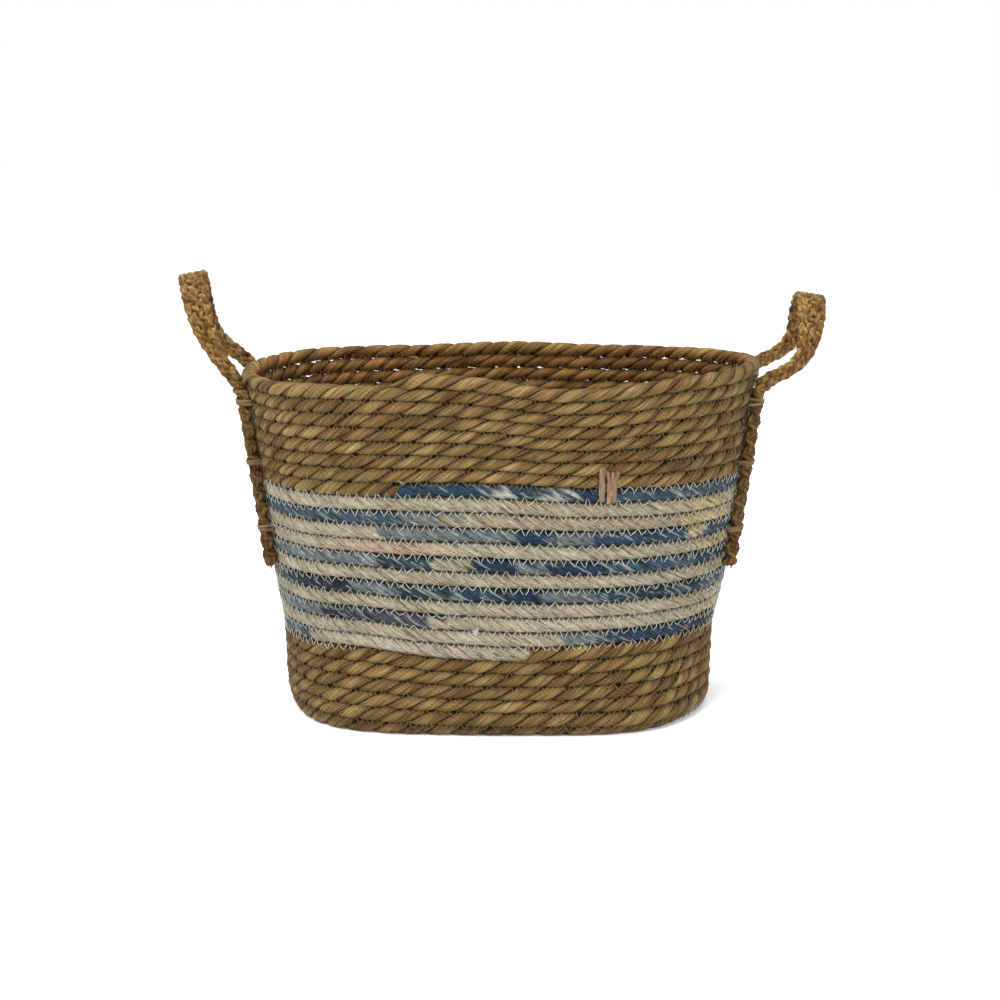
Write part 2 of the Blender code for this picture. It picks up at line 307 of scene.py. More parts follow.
class Skein:
    """Tubes gathered into one mesh, with the data that the fibre material reads."""

    def __init__(self):
        self.points = []
        self.quads = []
        self.tint = []
        self.grain = []
        self.crease = []
        self.count = 0

    def add(self, centre, side, up, radius, tint, twist=0.0, stretch=0.07, seed=0, crease=None):
        """A tube with a tint for each ring or corner; crease passes zero where two strips meet, where the
        material paints a shade line.
        """
        rings, corners = radius.shape
        angle = TAU * np.arange(corners) / corners
        ring = np.cos(angle)[None, :, None] * side[:, None, :]
        ring = ring + np.sin(angle)[None, :, None] * up[:, None, :]
        points = centre[:, None, :] + ring * radius[..., None]
        length = lengths_along(centre)
        turned = angle[None, :] + twist * length[:, None]
        shift = np.random.default_rng(seed).uniform(0.0, 900.0, 3)
        around = radius.mean() / MM
        grain = np.stack([
            around * np.cos(turned) + shift[0],
            around * np.sin(turned) + shift[1],
            length[:, None] / MM * stretch + shift[2] + 0.0 * turned,
        ], -1)
        if tint.ndim == 2:
            tint = np.repeat(tint[:, None, :], corners, axis=1)
        index = np.arange(rings * corners).reshape(rings, corners) + self.count
        onward = np.roll(index, -1, axis=1)
        walls = np.stack([index[:-1], onward[:-1], onward[1:], index[1:]], -1).reshape(-1, 4)
        caps = []
        for row in (index[0][::-1], index[-1]):
            for low in range(corners // 2 - 1):
                caps.append([row[low], row[low + 1], row[corners - 2 - low], row[corners - 1 - low]])
        self.points.append(points.reshape(-1, 3))
        self.quads.append(np.concatenate([walls, np.array(caps)]))
        self.tint.append(tint.reshape(-1, 3))
        self.grain.append(grain.reshape(-1, 3))
        crease = np.ones(radius.shape) if crease is None else crease
        self.crease.append(crease.reshape(-1, 1))
        self.count += rings * corners

    def build(self, name, material, slot, rows=True):
        """One mesh of all the tubes; rows=False keeps it level where the coil's rows rise and sink."""
        points = settle(np.concatenate(self.points), rows)
        quads = np.concatenate(self.quads)
        mesh = bpy.data.meshes.new(name)
        mesh.vertices.add(len(points))
        mesh.vertices.foreach_set("co", points.ravel())
        mesh.loops.add(quads.size)
        mesh.loops.foreach_set("vertex_index", quads.ravel().astype(np.int32))
        mesh.polygons.add(len(quads))
        mesh.polygons.foreach_set("loop_start", np.arange(len(quads), dtype=np.int32) * 4)
        mesh.update(calc_edges=True)
        mesh.polygons.foreach_set("use_smooth", np.ones(len(quads), bool))
        colours = np.concatenate(self.tint)
        # the tint's alpha carries the crease values that the material turns into painted shade lines
        with_alpha = np.concatenate([colours, np.concatenate(self.crease)], axis=1)
        tint = mesh.color_attributes.new("tint", "FLOAT_COLOR", "POINT")
        tint.data.foreach_set("color", with_alpha.ravel().astype(np.float32))
        grain = mesh.attributes.new("grain", "FLOAT_VECTOR", "POINT")
        grain.data.foreach_set("vector", np.concatenate(self.grain).ravel().astype(np.float32))
        mesh.materials.append(material)
        piece = bpy.data.objects.new(name, mesh)
        bpy.context.scene.collection.objects.link(piece)
        return piece


# ---------------------------------------------------------------- materials

def fibre_material(name, rough, contrast, bump, scale=1.0, crease=0.0, fleck=0.0):
    """Fibres that run along each strand: streaked colour, painted shade lines in the creases, roughness
    and relief.
    """
    material = bpy.data.materials.new(name)
    material.use_nodes = True
    nodes = material.node_tree.nodes
    links = material.node_tree.links
    shader = nodes["Principled BSDF"]
    shader.inputs["Specular IOR Level"].default_value = 0.10

    def math_node(operation, first, second):
        node = nodes.new("ShaderNodeMath")
        node.operation = operation
        for socket, value in zip(node.inputs, (first, second)):
            if isinstance(value, float):
                socket.default_value = value
            elif value is not None:
                links.new(value, socket)
        return node.outputs["Value"]

    def noise_node(size, detail):
        node = nodes.new("ShaderNodeTexNoise")
        node.inputs["Scale"].default_value = size * scale
        node.inputs["Detail"].default_value = detail
        node.inputs["Roughness"].default_value = 0.62
        links.new(grain.outputs["Vector"], node.inputs["Vector"])
        return node.outputs["Fac"]

    def range_node(value, low, high, start, end):
        node = nodes.new("ShaderNodeMapRange")
        node.interpolation_type = "SMOOTHSTEP"
        for socket, number in zip(("From Min", "From Max", "To Min", "To Max"), (low, high, start, end)):
            node.inputs[socket].default_value = number
        links.new(value, node.inputs["Value"])
        return node.outputs["Result"]

    def blend_node(kind, factor, first, second):
        node = nodes.new("ShaderNodeMix")
        node.data_type = "RGBA"
        node.blend_type = kind
        sockets = (node.inputs["Factor"], node.inputs[6], node.inputs[7])
        for socket, value in zip(sockets, (factor, first, second)):
            if isinstance(value, (float, tuple)):
                socket.default_value = value
            else:
                links.new(value, socket)
        return node.outputs[2]

    tint = nodes.new("ShaderNodeAttribute")
    tint.attribute_name = "tint"
    grain = nodes.new("ShaderNodeAttribute")
    grain.attribute_name = "grain"
    streak = noise_node(0.95, 5.0)
    fine = noise_node(2.6, 3.0)

    shade = nodes.new("ShaderNodeValToRGB")
    low, middle, high = contrast
    shade.color_ramp.elements[0].position = 0.34
    shade.color_ramp.elements[0].color = (*low, 1.0)
    shade.color_ramp.elements[1].position = 0.66
    shade.color_ramp.elements[1].color = (*high, 1.0)
    centre = shade.color_ramp.elements.new(0.50)
    centre.color = (*middle, 1.0)
    links.new(streak, shade.inputs["Fac"])

    colour = blend_node("MULTIPLY", 1.0, tint.outputs["Color"], shade.outputs["Color"])
    darkness = range_node(fine, 0.30, 0.44, 0.55, 0.0)
    colour = blend_node("MULTIPLY", darkness, colour, (0.30, 0.24, 0.18, 1.0))
    flecks = range_node(fine, 0.56, 0.70, 0.0, fleck)
    colour = blend_node("MIX", flecks, colour, (0.42, 0.42, 0.38, 1.0))
    # painted shade: dark lines where the tint's alpha passes zero, in the creases between plies and strips
    crease_shade = range_node(math_node("ABSOLUTE", tint.outputs["Alpha"], None), 0.02, 0.20, crease, 0.0)
    colour = blend_node("MULTIPLY", crease_shade, colour, (0.10, 0.07, 0.05, 1.0))
    links.new(colour, shader.inputs["Base Color"])
    links.new(range_node(streak, 0.3, 0.7, rough + 0.14, rough - 0.14), shader.inputs["Roughness"])

    relief = math_node("ADD", math_node("MULTIPLY", fine, 0.45), streak)
    raised = nodes.new("ShaderNodeBump")
    raised.inputs["Strength"].default_value = bump
    raised.inputs["Distance"].default_value = 0.6 * MM
    links.new(relief, raised.inputs["Height"])
    links.new(raised.outputs["Normal"], shader.inputs["Normal"])
    return material


GRASS_SHADES = ((0.42, 0.36, 0.28), (1.0, 0.98, 0.95), (1.60, 1.55, 1.42))
HUSK_SHADES = ((0.56, 0.52, 0.45), (0.95, 0.945, 0.93), (1.32, 1.32, 1.28))
SOFT_SHADES = ((0.72, 0.70, 0.66), (1.0, 1.0, 1.0), (1.20, 1.20, 1.18))
SEAGRASS = fibre_material("seagrass", 0.66, GRASS_SHADES, 1.0, 1.0, 0.95, 0.05)
HUSK = fibre_material("husk", 0.60, HUSK_SHADES, 1.0, 1.25, 0.80, 0.22)
BRAID = fibre_material("braid", 0.64, GRASS_SHADES, 0.9, 1.4, 0.0, 0.04)
THREAD = fibre_material("thread", 0.70, SOFT_SHADES, 0.4, 2.0)
RAFFIA = fibre_material("raffia", 0.60, SOFT_SHADES, 0.6, 1.6)


# ---------------------------------------------------------------- ropes

SEAGRASS_STOPS = [
    (0.00, (88, 60, 30)),
    (0.25, (124, 93, 52)),
    (0.50, (155, 125, 76)),
    (0.75, (184, 155, 100)),
    (1.00, (222, 196, 138)),
]
# Painted shade: a darker, warmer copy of the seagrass colours for the faces that look into the basket
INSIDE_STOPS = [
    (0.00, (84, 52, 22)),
    (0.40, (136, 96, 48)),
    (0.75, (178, 134, 74)),
    (1.00, (212, 172, 104)),
]
PLY_PITCH = 34.0 * MM
SEAGRASS_RADIUS = 4.95 * MM
END_TAPER = 16.0 * MM
ROPE_STEP = 1.9 * MM
JOIN_LAP = 0.009            # turns by which the tapered ends of two ropes lie over each other
ROPE_CORNERS = 28


def rope_body(first, last, seed, start_taper, end_taper):
    """Centre line with its frame, thickness share and lengths for a stretch of rope."""
    turns, length = coil_marks(first, last, ROPE_STEP)
    centre, _, face, onward = coil_frame(turns)
    arc = millimetres_along(turns)
    centre = centre + face * (wander(arc / 37.0, seed) * 0.35 * MM)[:, None]
    centre = centre + onward * (wander(arc / 53.0, seed + 1) * 0.22 * MM)[:, None]
    size = 1.0 + 0.05 * wander(arc / 29.0, seed + 2) + 0.12 * bump(turns, HEEL_MIDDLE, 0.9)
    if start_taper:
        size = size * (0.30 + 0.70 * smoothstep(length / END_TAPER))
    if end_taper:
        size = size * (0.22 + 0.78 * smoothstep((length[-1] - length) / END_TAPER))
        sink = (1.0 - smoothstep((length[-1] - length) / (1.5 * END_TAPER))) * 4.5 * MM
        centre = centre - onward * sink[:, None]
    return turns, length, centre, face, onward, size


def seam_shade(angle):
    """Painted shade where neighbouring rows meet."""
    return smoothstep((np.abs(np.sin(angle)) - 0.72) / 0.28)[None, :]


def seagrass_rope(skein, first, last, seed, start_taper=False, end_taper=False):
    """Two flattened plies of seagrass laid round each other, with a crease between them."""
    turns, _, centre, face, onward, size = rope_body(first, last, 40, start_taper, end_taper)
    whole = millimetres_along(turns)
    spin = -TAU * whole / (PLY_PITCH / MM) + 1.3 * wander(whole / 70.0, 43)
    spin = spin + 0.35 * wander(whole / 23.0, 44)
    angle = TAU * np.arange(ROPE_CORNERS) / ROPE_CORNERS
    turned = angle[None, :] - spin[:, None]
    crossing = np.sin(turned)
    crease = np.exp(-(crossing / 0.26) ** 2)
    bulge = 0.07 * np.abs(crossing) ** 1.5
    one_ply = wander(whole / 15.0, 51)[:, None]
    other_ply = wander(whole / 15.0, 52)[:, None]
    blade = np.where(crossing > 0.0, one_ply, other_ply)
    phase = np.where(crossing > 0.0, 3.0, 4.0)
    fold = 0.020 * np.cos(7.0 * turned + phase) + 0.012 * np.cos(13.0 * turned + 2.0 * phase)
    rough = 0.030 * wander_2d(turned / TAU * 12.0, whole[:, None] / 6.0, 60, 12)
    overlap = 0.045 * blade
    swell = size[:, None] * (0.965 + bulge + fold + rough + overlap - 0.33 * crease)
    radius = SEAGRASS_RADIUS * swell
    streak = wander_2d(turned / TAU * 22.0, whole[:, None] / 20.0, 61, 22)
    patch = wander_2d(turned / TAU * 4.0, whole[:, None] / 45.0, 62, 4)
    value = 0.49 + 0.20 * blade + 0.24 * streak + 0.14 * patch
    outer = ramp(value, SEAGRASS_STOPS)
    inner = ramp(value, INSIDE_STOPS)
    rim_row = (turns > TOTAL_TURNS - 1.0)[:, None]
    # faces looking into the basket take the painted-shade colours; the rim's top keeps the outer ones
    inward = smoothstep(0.5 - 1.3 * np.cos(angle) - 0.9 * np.sin(angle) * rim_row)
    tint = outer * (1.0 - inward[..., None]) + inner * inward[..., None]
    # painted shade in the crease between the two plies and where neighbouring rows meet
    tint = tint * (1.0 - 0.45 * crease - 0.35 * seam_shade(angle))[..., None]
    skein.add(centre, face, onward, radius, tint, twist=TAU / PLY_PITCH, seed=seed + 23, crease=crossing)


# Dyed stretches of the husk rope: turns down from its top end, and the colour that begins there
BLUE = (42, 78, 106)
STEEL = (72, 100, 118)
DEEP = (22, 60, 90)
NAVY = (24, 42, 62)
TEAL = (28, 70, 82)
MIST = (128, 140, 142)
WHITE = (236, 236, 226)
CREAM = (211, 200, 171)
PALE = (198, 186, 154)
PINK = (226, 198, 168)
YELLOW = (224, 204, 152)
DUSK = (84, 88, 104)
STRETCHES = [
    (0.000, BLUE), (0.046, WHITE), (0.055, BLUE), (0.071, WHITE), (0.078, BLUE), (0.106, STEEL),
    (0.240, MIST), (0.420, BLUE), (0.560, CREAM), (1.060, PALE), (1.180, YELLOW), (1.330, CREAM),
    (1.600, BLUE), (1.820, STEEL), (2.000, MIST), (2.026, PALE), (2.160, YELLOW), (2.300, CREAM),
    (2.990, MIST), (3.058, DEEP), (3.080, MIST), (3.100, BLUE), (3.176, YELLOW), (3.190, STEEL),
    (3.400, BLUE), (3.600, CREAM), (3.950, PINK), (4.020, CREAM), (4.190, YELLOW), (4.320, CREAM),
    (4.650, BLUE), (4.830, MIST), (4.985, TEAL), (5.020, PALE), (5.031, DEEP), (5.060, MIST),
    (5.074, DEEP), (5.106, STEEL), (5.180, TEAL), (5.260, MIST), (5.420, CREAM), (6.180, PALE),
    (6.320, CREAM), (6.680, BLUE), (6.830, TEAL), (6.900, NAVY), (6.965, MIST), (6.990, TEAL),
    (7.020, MIST), (7.027, BLUE), (7.043, DEEP), (7.070, MIST), (7.100, BLUE), (7.120, TEAL),
    (7.200, STEEL), (7.450, CREAM), (8.160, PALE), (8.330, CREAM), (8.700, STEEL), (8.840, MIST),
    (8.932, NAVY), (8.950, DUSK), (9.020, CREAM), (9.200, YELLOW), (9.330, CREAM), (10.085, MIST),
    (10.100, BLUE), (10.190, NAVY), (10.260, STEEL), (10.500, BLUE), (10.840, STEEL), (10.900, CREAM),
]
STRETCH_BLEND = 0.004


def stretch_colour(down):
    """Colour of the husk rope at turns down from its top end."""
    colour = np.repeat(linear(STRETCHES[0][1])[None, :], down.size, axis=0).reshape(*down.shape, 3)
    for place, shade in STRETCHES[1:]:
        share = smoothstep((down - place) / STRETCH_BLEND + 0.5)
        colour = colour * (1.0 - share[..., None]) + linear(shade) * share[..., None]
    return colour


# Painted shade: faces and thread inside the basket are coloured warmer and darker
INSIDE_SHADE = (0.86, 0.74, 0.58)           # the inside is warmer and a little darker
HUSK_RADIUS = 4.75 * MM
HUSK_PITCH = 44.0 * MM


def husk_rope(skein, first, last, seed, start_taper=False, end_taper=False):
    """Flat strips of dyed husk wound round a core."""
    turns, length, centre, face, onward, size = rope_body(first, last, 60, start_taper, end_taper)
    whole = millimetres_along(turns)
    angle = TAU * np.arange(ROPE_CORNERS) / ROPE_CORNERS
    spin = TAU * whole * MM / HUSK_PITCH + 1.5 * wander(turns * 9.0, 63)
    turned = angle[None, :] - spin[:, None]
    strips = 1.0 + 0.055 * np.abs(np.sin(2.5 * turned)) + 0.02 * np.cos(9 * turned)
    rough = 0.06 * wander_2d(turned / TAU * 10.0, length[:, None] / (9.0 * MM), seed, 10)
    radius = HUSK_RADIUS * size[:, None] * (0.95 + strips - 1.0 + rough)
    streak = wander_2d(turned / TAU * 14.0, length[:, None] / (26.0 * MM), seed + 3, 14)
    broad = wander_2d(turned / TAU * 6.0, length[:, None] / (40.0 * MM), seed + 4, 6)
    down = (HUSK_END - turns)[:, None] + 0.010 * broad
    colour = stretch_colour(down)
    near = stretch_colour(down + 0.035 * np.sign(streak))
    mixed = smoothstep((np.abs(streak) - 0.52) / 0.25)[..., None]
    colour = colour * (1.0 - 0.5 * mixed) + near * 0.5 * mixed
    thin = wander_2d(turned / TAU * 40.0, whole[:, None] / 11.0, 71, 40)
    drift = 0.25 * wander(whole / 30.0, 72)[:, None]
    pale = smoothstep((thin + 0.6 * streak + drift - 0.56) / 0.2)[..., None] * 0.52
    colour = colour * (1.0 - pale) + linear(WHITE) * pale
    tone = wander_2d(turned / TAU * 5.0, length[:, None] / (60.0 * MM), seed + 5, 5)
    colour = colour * (1.0 + 0.16 * tone)[..., None]
    dark = smoothstep((-thin - 0.5 * streak - 0.66) / 0.2)[..., None] * 0.62
    # painted shade where neighbouring rows meet
    colour = colour * (1.0 - dark) * (1.0 - 0.5 * seam_shade(angle))[..., None]
    # painted shade: faces looking into the basket are coloured warmer and darker
    inward = smoothstep(-1.2 * np.cos(angle))[None, :, None] * 0.35
    colour = colour * (1.0 - inward) + colour * np.array(INSIDE_SHADE) * inward
    # the crease values mark where the husk strips meet, for the material's painted shade lines
    skein.add(centre, face, onward, radius, colour, twist=-TAU / HUSK_PITCH, stretch=0.12,
              seed=seed + 7, crease=np.sin(2.5 * turned) + 0.35 * (streak > 0.1))


def heart_strand():
    """The thin strand that fills the middle of the base, between the first turn's two sides."""
    first = coil_frame(np.linspace(0.05, 0.60, 200))[0]
    second = coil_frame(np.linspace(0.55, 1.10, 200))[0]
    low = max(first[:, 0].min(), second[:, 0].min()) + 1.5 * MM
    high = min(first[:, 0].max(), second[:, 0].max()) - 1.5 * MM
    x = np.linspace(low, high, 60)
    sides = []
    for side in (first, second):
        order = np.argsort(side[:, 0])
        sides.append(np.interp(x, side[order, 0], side[order, 1]))
    middle = np.stack([x, (sides[0] + sides[1]) / 2, ROPE_HALF + 0.0 * x], -1)
    gap = np.abs(sides[0] - sides[1]) - 2 * ROPE_HALF
    angle = TAU * np.arange(16) / 16
    spin = -TAU * x / (16.0 * MM)
    crossing = np.sin(angle[None, :] - spin[:, None])
    radius = (gap / 2 + 1.6 * MM)[:, None] * (0.92 + 0.12 * np.abs(crossing))
    side = np.repeat(np.array([[0.0, 1.0, 0.0]]), len(x), axis=0)
    up = np.repeat(UP[None, :], len(x), axis=0)
    tint = ramp(0.5 + 0.4 * wander(x / (7.0 * MM) + 40.0, 81), SEAGRASS_STOPS)
    skein = Skein()
    # the crossing values give painted shade lines in the creases between the plies
    skein.add(middle, side, up, radius, tint, twist=400.0, seed=82, crease=crossing)
    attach(skein.build("base_heart_strand", SEAGRASS, "seagrass"), "basket")


def rope_pieces():
    """The coil in stretches of a turn or more, each its own piece."""
    plan = [
        ("base_coil_inner", "base_and_lower_rope", 0.05, 6.0),
        ("base_coil_outer", "base_and_lower_rope", 6.0, WALL_START),
        ("lower_wall_a", "base_and_lower_rope", WALL_START, WALL_START + 2.6),
        ("lower_wall_b", "base_and_lower_rope", WALL_START + 2.6, HUSK_START + JOIN_LAP),
    ]
    for number in range(5):
        share = UPPER_TURNS / 5
        start = HUSK_END + share * number
        early = JOIN_LAP if number == 0 else 0.0
        plan.append((f"upper_wall_{'abcde'[number]}", "upper_rope", start - early, start + share))
    made = []
    for number, (name, node, first, last) in enumerate(plan):
        skein = Skein()
        opens = name in ("base_coil_inner", "upper_wall_a")
        closes = name in ("lower_wall_b", "upper_wall_e")
        seagrass_rope(skein, first, last, 100 + 40 * number, opens, closes)
        piece = skein.build(name, SEAGRASS, "seagrass")
        made.append((piece, node))
    parts = 6
    for number in range(parts):
        first = HUSK_START + HUSK_TURNS * number / parts - JOIN_LAP * (number == 0)
        last = HUSK_START + HUSK_TURNS * (number + 1) / parts + JOIN_LAP * (number == parts - 1)
        skein = Skein()
        husk_rope(skein, first, last, 700, number == 0, number == parts - 1)
        piece = skein.build(f"husk_wall_{'abcdef'[number]}", HUSK, "husk")
        made.append((piece, "striped_husk_rope"))
    for piece, node in made:
        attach(piece, "basket")
        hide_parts(node)


# ---------------------------------------------------------------- stitching

STITCH_STEP = 3.4 * MM
STITCH_REACH = 2.9 * MM
THREAD_RADIUS = 0.24 * MM
THREAD_ON_HUSK = (255, 252, 236)
THREAD_ON_GRASS = (170, 144, 100)


def stitch_run(skein, first, last, outside, seed):
    """Zigzag thread along the seam below a stretch of the coil."""
    turns, length = coil_marks(first, last, STITCH_STEP / 2)
    centre, along, face, onward = coil_frame(turns)
    normal = face if outside else -face
    count = len(turns)
    beat = np.arange(count) % 4
    swing = np.array([1.0, 0.0, -1.0, 0.0])[beat]
    hole = np.abs(swing)
    loose = np.random.default_rng(seed)
    uneven = 1.0 + 0.30 * wander(length / (45.0 * MM), seed + 2) + 0.42 * loose.uniform(-1, 1, count)
    reach = STITCH_REACH * swing * uneven
    lift = (4.75 - 0.75 * hole) * MM + 0.15 * MM * loose.uniform(-1, 1, count)
    path = centre - onward * (ROW_PITCH / 2) + onward * reach[:, None] + normal * lift[:, None]
    path = path + along * (0.95 * MM * loose.uniform(-1, 1, count))[:, None]
    tangent = unit(np.gradient(path, axis=0))
    across = unit(np.cross(tangent, normal))
    up = np.cross(across, tangent)
    on_husk = (turns > HUSK_START + 0.1) & (turns < HUSK_END + 0.9)
    colour = np.where(on_husk[:, None], 1.08 * linear(THREAD_ON_HUSK), linear(THREAD_ON_GRASS))
    colour = colour * (1.0 + 0.15 * wander(length / (14.0 * MM), seed))[:, None]
    # painted shade: thread on the inside is coloured warmer and darker
    if not outside:
        colour = colour * np.array(INSIDE_SHADE)
    radius = np.full((count, 4), THREAD_RADIUS)
    skein.add(path, across, up, radius, colour, seed=seed)


def stitch_pieces():
    """The seams, outside and inside, in stretches."""
    breaks = [1.2, 7.0, WALL_START + 1.0, HUSK_START + 1.0, HUSK_START + 5.0, HUSK_START + 9.0]
    breaks += [HUSK_END + 1.0, HUSK_END + 4.5, TOTAL_TURNS - 0.03]
    for number, (first, last) in enumerate(zip(breaks, breaks[1:])):
        for label, outside in (("outer", True), ("inner", False)):
            skein = Skein()
            stitch_run(skein, first, last, outside, 900 + 10 * number + outside)
            piece = skein.build(f"stitches_{label}_{'abcdefgh'[number]}", THREAD, "raffia")
            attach(piece, "basket")


# ---------------------------------------------------------------- handles

BRAID_STOPS = [
    (0.00, (84, 54, 24)),
    (0.30, (128, 90, 44)),
    (0.60, (164, 124, 68)),
    (1.00, (206, 172, 110)),
]
BRAID_CORDS = 7
PATH_STEP = 1.25 * MM


def handle_point(side, end, height, standoff):
    """Point outside the wall at a handle's root line; side is -1 left, end is -1 front."""
    offset = wall_offset(height) + standoff
    point = oval_point(np.full_like(height, HANDLE_ANGLE), offset, height)
    return point * np.array([side, end, 1.0])


def loop_points(handle):
    """Centre line of a loop, from its front root to its back root, with its slope."""
    shares = np.linspace(0.0, 1.0, 200)
    start, finish = handle["bend"]
    bend = smoothstep((shares - start) / (finish - start))
    slope = np.radians(handle["root"] + (handle["top"] - handle["root"]) * bend)
    step = handle["length"] / (len(shares) - 1)
    reach = np.concatenate([[0.0], np.cumsum(np.cos(slope[:-1]) * step)])
    rise = np.concatenate([[0.0], np.cumsum(np.sin(slope[:-1]) * step)])
    turn = np.linspace(0.03, math.pi - 0.03, 160)
    share = np.sin(turn) ** (2.0 / ARCH_POWER)
    width = np.sign(np.cos(turn)) * np.abs(np.cos(turn)) ** (2.0 / ARCH_POWER)
    root_x = abs(HINGES["left_handle"][0])
    x = handle["side"] * (root_x + np.interp(share, shares, reach))
    z = HINGE_HEIGHT + np.interp(share, shares, rise)
    backness = (1.0 - width) / 2
    skew = handle["front_out"] + (handle["back_out"] - handle["front_out"]) * backness
    x = x + handle["side"] * skew * smoothstep((share - handle["skew_from"]) / 0.4)
    points = np.stack([x, -ARCH_HALF * width, z], -1)
    lean = np.interp(share, shares, slope)
    broad = np.stack([handle["side"] * np.sin(lean), 0.0 * lean, -np.cos(lean)], -1)
    return points, broad, share


def handle_path(handle):
    """Centre line of the whole braid with its broad direction and its share of grip width."""
    side = handle["side"]
    heights = np.linspace(TAIL_BOTTOM, HINGE_HEIGHT - 6.0 * MM, 60)
    front = handle_point(side, -1.0, heights, TAIL_STANDOFF)
    back = handle_point(side, 1.0, heights, TAIL_STANDOFF)[::-1]
    loop, broad, share = loop_points(handle)
    sideways = np.array([-side * math.sin(HANDLE_ANGLE), -math.cos(HANDLE_ANGLE), 0.0])
    points = np.concatenate([front, loop, back])
    wide = np.concatenate([
        np.repeat(sideways[None, :], len(front), axis=0),
        broad,
        np.repeat(sideways[None, :] * np.array([-1.0, 1.0, 1.0]), len(back), axis=0) * -1.0,
    ])
    grip = np.concatenate([np.zeros(len(front)), share, np.zeros(len(back))])
    length = lengths_along(points)
    even = np.arange(0.0, length[-1], PATH_STEP)
    columns = [np.interp(even, length, column) for column in np.concatenate([points, wide], axis=1).T]
    table = np.stack(columns, -1)
    kernel = np.exp(-0.5 * (np.arange(-8, 9) / 3.2) ** 2)
    kernel = kernel / kernel.sum()
    padded = np.pad(table, ((8, 8), (0, 0)), mode="reflect", reflect_type="odd")
    smooth = np.stack([np.convolve(column, kernel, mode="valid") for column in padded.T], -1)
    return smooth[:, :3], smooth[:, 3:], np.interp(even, length, grip), even


def braid_piece(name, handle, seed):
    """One flat braid: tail, loop and tail."""
    centre, wide, share, length = handle_path(handle)
    tangent = unit(np.gradient(centre, axis=0))
    wide = unit(wide - tangent * np.sum(wide * tangent, axis=1)[:, None])
    thick = np.cross(tangent, wide)
    first, full = handle["grip"]
    grip = smoothstep((share - first) / (full - first))
    from_end = np.minimum(length, length[-1] - length)
    spread = 1.0 - smoothstep(from_end / (34.0 * MM))
    half_width = (3.0 + 5.0 * grip + 1.0 * spread) * MM
    half_thick = (2.3 - 0.8 * smoothstep(share / 0.4) + 0.5 * spread) * MM
    cord_radius = (1.95 + 0.25 * grip) * MM
    period = (80.0 - 24.0 * grip) * MM
    phase = np.concatenate([[0.0], np.cumsum(TAU * PATH_STEP / period[:-1])])
    corners = 12
    angle = TAU * np.arange(corners) / corners
    skein = Skein()
    for cord in range(BRAID_CORDS):
        turn = phase + TAU * cord / BRAID_CORDS
        across = half_width * np.sin(turn)
        over = half_thick * np.sin((BRAID_CORDS - 1) * turn)
        path = centre + wide * across[:, None] + thick * over[:, None]
        path = path + thick * (0.25 * MM * wander(length / (9.0 * MM), seed + cord))[:, None]
        run = unit(np.gradient(path, axis=0))
        up = unit(thick - run * np.sum(thick * run, axis=1)[:, None])
        beside = np.cross(run, up)
        spin = TAU * length / (9.5 * MM) + cord
        lobes = 1.0 + 0.17 * np.cos(2.0 * (angle[None, :] - spin[:, None]))
        around = angle[None, :] / TAU
        onward = length[:, None] / MM
        rough = 0.06 * wander_2d(around * 12.0, onward / 3.0, seed + 20 + cord, 12)
        radius = cord_radius[:, None] * (lobes + rough) * 0.98
        value = 0.52 + 0.22 * wander(length / (17.0 * MM), seed + 30 + cord)[:, None]
        # painted shade in the grooves between a cord's lobes and painted light on their crests
        painted_groove_shade = 0.20 * np.cos(2.0 * (angle[None, :] - spin[:, None]))
        speck = 0.2 * wander_2d(around * 6.0, onward / 5.0, seed + 40 + cord, 6)
        # painted shade: the tails that run down the wall are coloured darker than the loop
        painted_tail_shade = 0.62 + 0.38 * smoothstep(share / 0.30)
        tint = ramp(value + painted_groove_shade + speck, BRAID_STOPS) * painted_tail_shade[:, None, None]
        skein.add(path, beside, up, radius, tint, twist=260.0, stretch=0.12, seed=seed + 50 + cord)
    fray(skein, centre, tangent, wide, thick, seed)
    fuzz(skein, centre, wide, thick, half_width + cord_radius, seed + 70, 130)
    return skein.build(name, BRAID, "braid", rows=False)


def add_fibre(skein, start, direction, bend, length, radius, colour):
    """One loose fibre, thin and slightly curved."""
    share = np.linspace(0.0, 1.0, 6)
    path = start + direction * (share * length)[:, None] + bend * (share ** 2 * length)[:, None]
    run = unit(np.gradient(path, axis=0))
    side = unit(np.cross(run, np.array([0.31, 0.17, 0.93])))
    size = radius * (1.0 - 0.75 * share)
    tint = np.repeat(colour[None, :], 6, axis=0)
    skein.add(path, side, np.cross(run, side), np.repeat(size[:, None], 4, axis=1), tint)


def fray(skein, centre, tangent, wide, thick, seed):
    """Blunt frayed ends of both tails."""
    dice = np.random.default_rng(seed + 60)
    for end, sign in ((0, -1.0), (-1, 1.0)):
        for _ in range(60):
            spot = dice.uniform(-1.0, 1.0, 2) * np.array([5.0, 2.6]) * MM
            start = centre[end] + wide[end] * spot[0] + thick[end] * spot[1]
            start = start - tangent[end] * sign * 2.0 * MM
            spread = wide[end] * spot[0] * 60.0 + thick[end] * spot[1] * 40.0
            direction = tangent[end] * sign + spread + dice.uniform(-0.12, 0.12, 3)
            colour = ramp(np.array([dice.uniform(0.2, 0.9)]), BRAID_STOPS)[0]
            add_fibre(skein, start, direction, dice.uniform(-0.3, 0.3, 3), dice.uniform(3.0, 5.0) * MM,
                      dice.uniform(0.25, 0.5) * MM, colour)


